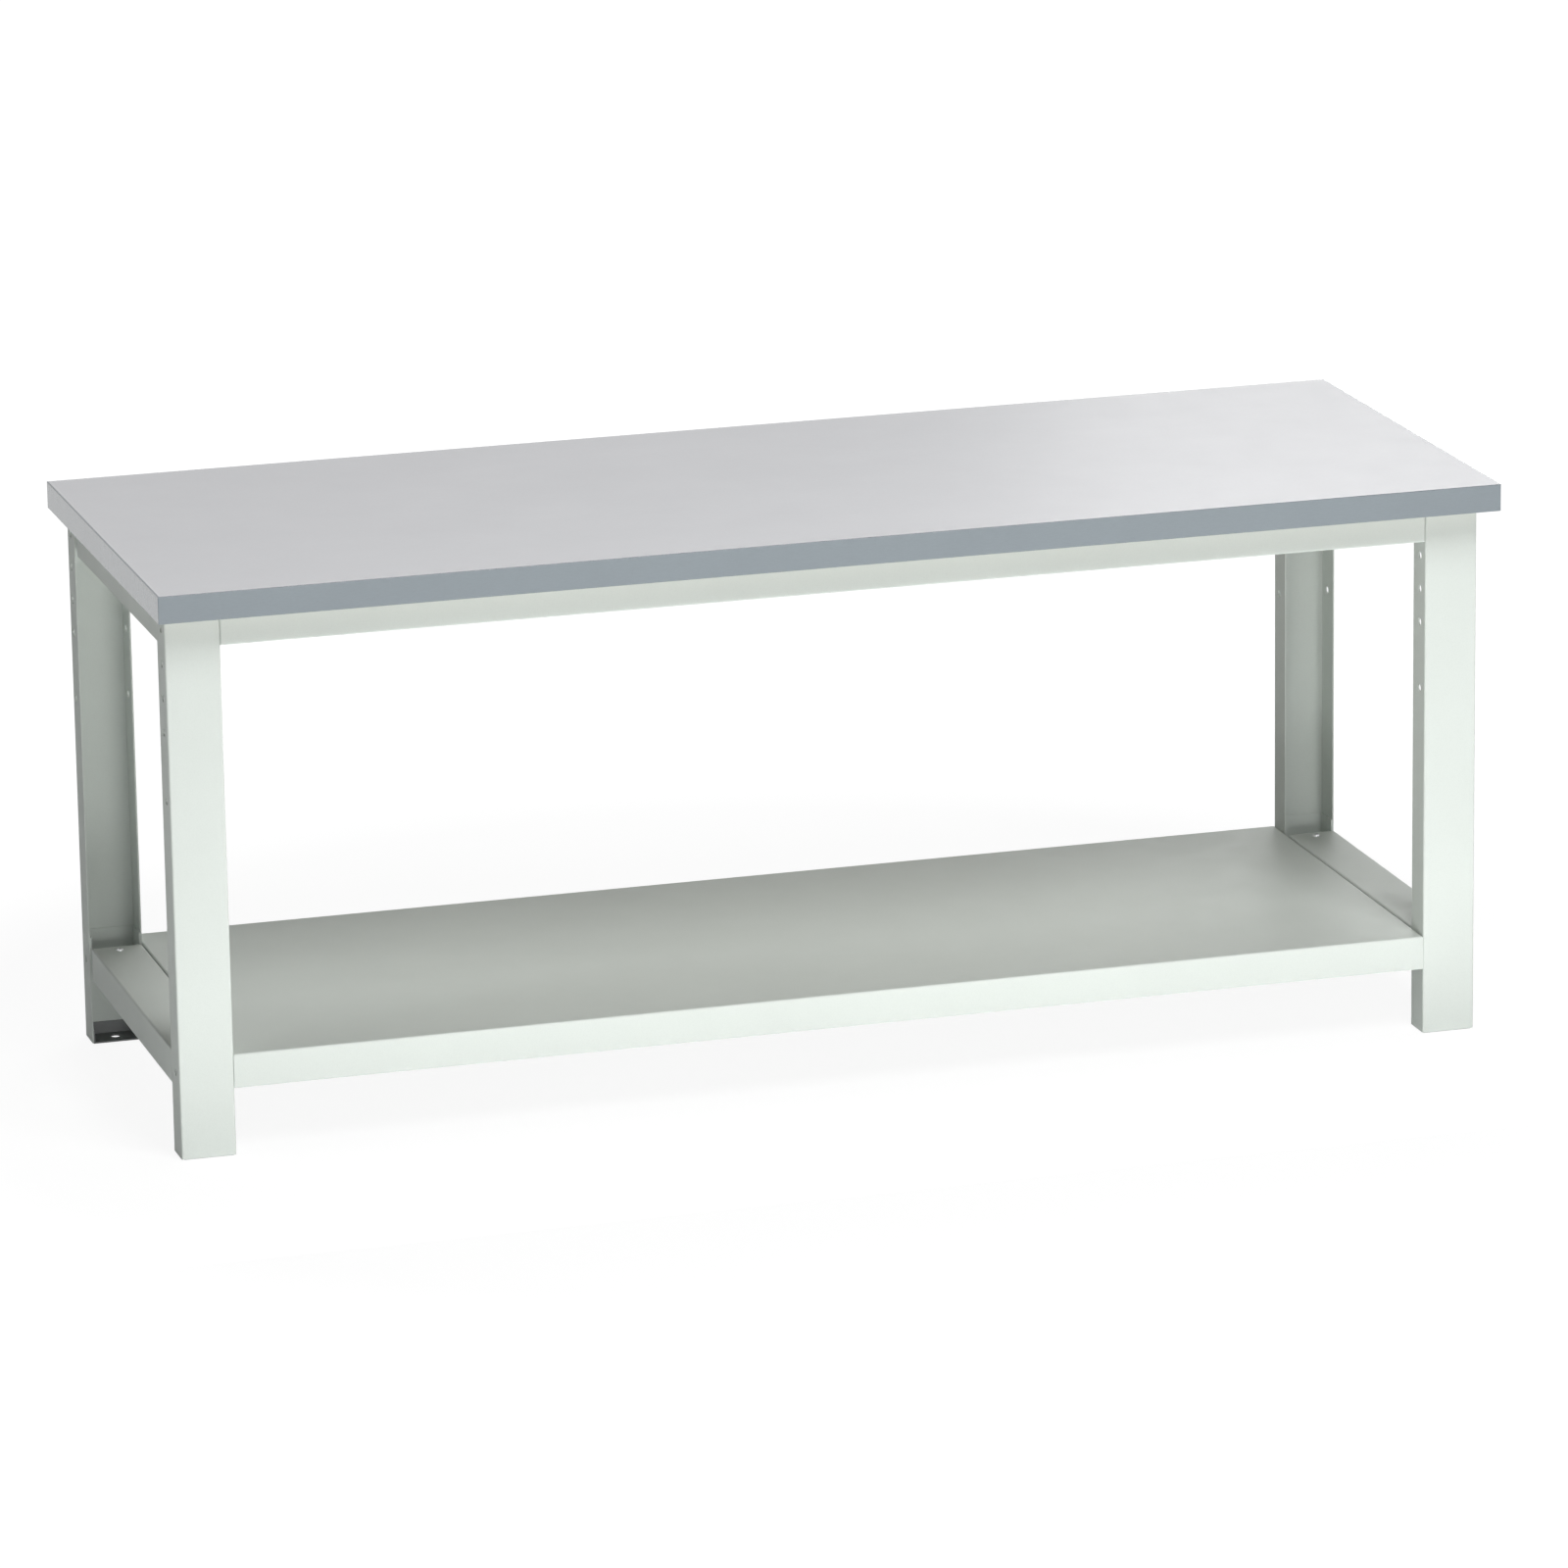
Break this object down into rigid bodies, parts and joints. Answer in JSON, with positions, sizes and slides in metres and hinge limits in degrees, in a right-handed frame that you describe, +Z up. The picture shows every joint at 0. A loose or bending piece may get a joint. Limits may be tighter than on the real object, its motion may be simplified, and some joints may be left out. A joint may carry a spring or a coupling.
{
  "type": "workbench",
  "caption": "Static workshop bench: thick laminated worktop on folded steel channel legs, joined by top rails, end rails and a full-depth base shelf.",
  "frame": {"origin": "on the floor, under the middle of the bench", "axes": "+X along the bench to its right end, +Y to its back, +Z up; the front faces -Y"},
  "size_m": [2, 0.75, 0.84],
  "materials": {
    "frame_paint": "light grey powder coat, satin, on folded sheet steel",
    "foot_paint": "dark grey powder coat, satin, on folded sheet steel",
    "laminate": "pale grey melamine laminate, fine satin texture",
    "backer": "plain balancing sheet",
    "edging": "blue-grey plastic edging, satin",
    "core": "pressed chipboard, bare",
    "fastener": "bright zinc plating"
  },
  "bodies": {
    "root": {"worktop_core": "core", "worktop_laminate": "laminate", "worktop_backer": "backer", "edging_front": "edging", "edging_rear": "edging", "edging_left": "edging", "edging_right": "edging", "leg_front_left": "frame_paint", "lower_bracket_front_left": "frame_paint", "top_bracket_front_left": "frame_paint", "lower_tongue_front_left": "frame_paint", "top_tongue_front_left": "frame_paint", "foot_plate_front_left": "foot_paint", "leg_rear_left": "frame_paint", "lower_bracket_rear_left": "frame_paint", "top_bracket_rear_left": "frame_paint", "lower_tongue_rear_left": "frame_paint", "top_tongue_rear_left": "frame_paint", "foot_plate_rear_left": "foot_paint", "leg_front_right": "frame_paint", "lower_bracket_front_right": "frame_paint", "top_bracket_front_right": "frame_paint", "lower_tongue_front_right": "frame_paint", "top_tongue_front_right": "frame_paint", "foot_plate_front_right": "foot_paint", "leg_rear_right": "frame_paint", "lower_bracket_rear_right": "frame_paint", "top_bracket_rear_right": "frame_paint", "lower_tongue_rear_right": "frame_paint", "top_tongue_rear_right": "frame_paint", "foot_plate_rear_right": "foot_paint", "lower_end_rail_left": "frame_paint", "top_end_rail_left": "frame_paint", "lower_end_rail_right": "frame_paint", "top_end_rail_right": "frame_paint", "top_rail_front": "frame_paint", "shelf_stiffener_front": "frame_paint", "top_rail_rear": "frame_paint", "shelf_stiffener_rear": "frame_paint", "base_shelf": "frame_paint", "frame_bolts": "fastener", "frame_nuts": "fastener", "frame_washers": "fastener", "end_rail_screws": "fastener", "worktop_screws": "fastener"}
  },
  "joints": []
}
